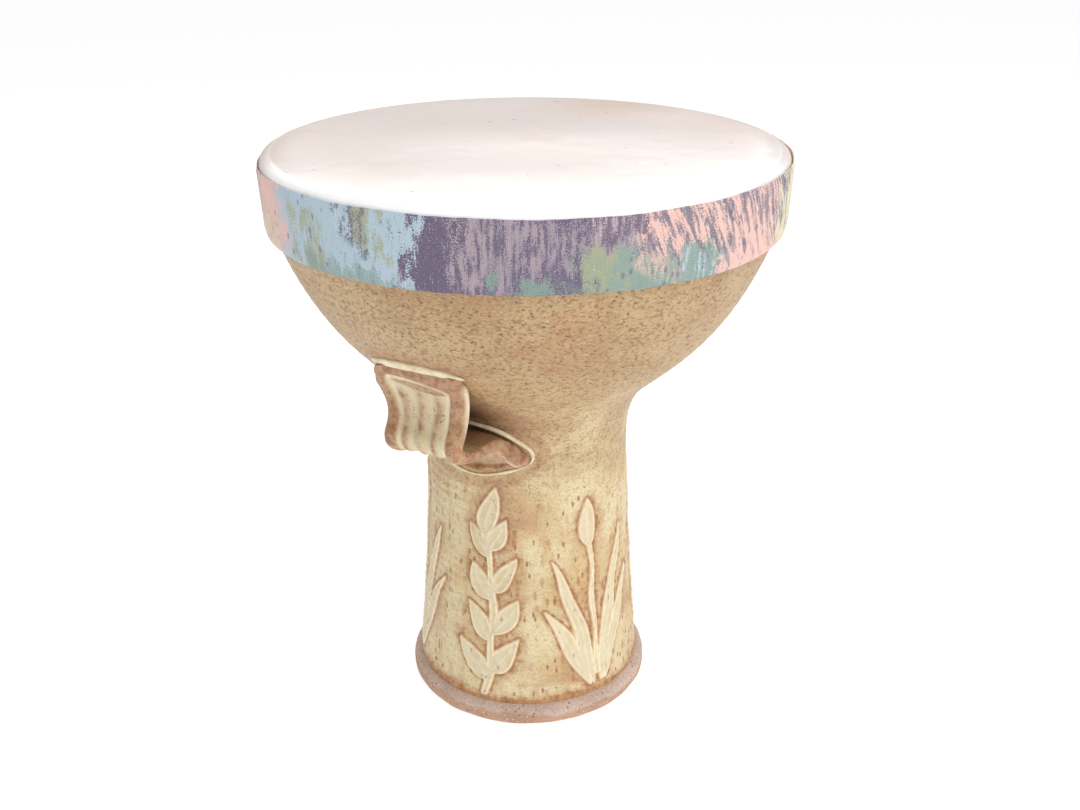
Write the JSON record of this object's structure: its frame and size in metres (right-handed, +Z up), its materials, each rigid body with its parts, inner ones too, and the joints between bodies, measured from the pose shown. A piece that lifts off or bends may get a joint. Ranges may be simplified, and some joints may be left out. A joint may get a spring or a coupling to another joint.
{
  "type": "goblet drum",
  "caption": "Stoneware goblet drum: flared bowl on an open stem, glued skin head, printed cloth band, ribbed strap handle and bare foot ring. Stands on its foot and is played on the head.",
  "frame": {"origin": "on the drum's axis, at the foot ring's resting face", "axes": "+Z up along the drum's axis towards the head; the strap handle points to -X"},
  "size_m": [0.2402, 0.2402, 0.2769],
  "materials": {
    "tan_glaze": "semi-matt tan stoneware glaze with fine iron speckle",
    "cream_glaze": "semi-matt straw-coloured stoneware glaze with iron speckle",
    "pale_slip": "pale slip, dry to satin",
    "bare_clay": "bare fired stoneware, matt",
    "goatskin": "stretched rawhide, off-white, satin",
    "hide_glue": "dried glue, amber",
    "printed_cloth": "fine plain-weave cotton with a streaked print"
  },
  "bodies": {
    "root": {"bowl_shell": "tan_glaze", "stem_tube": "cream_glaze", "throat_slip_ring": "pale_slip", "foot_ring": "bare_clay", "drum_skin": "goatskin", "skin_glue_ring": "hide_glue", "cloth_band": "printed_cloth", "strap_handle": "tan_glaze", "upper_slip_coil": "pale_slip", "lower_slip_coil": "pale_slip"}
  },
  "joints": []
}
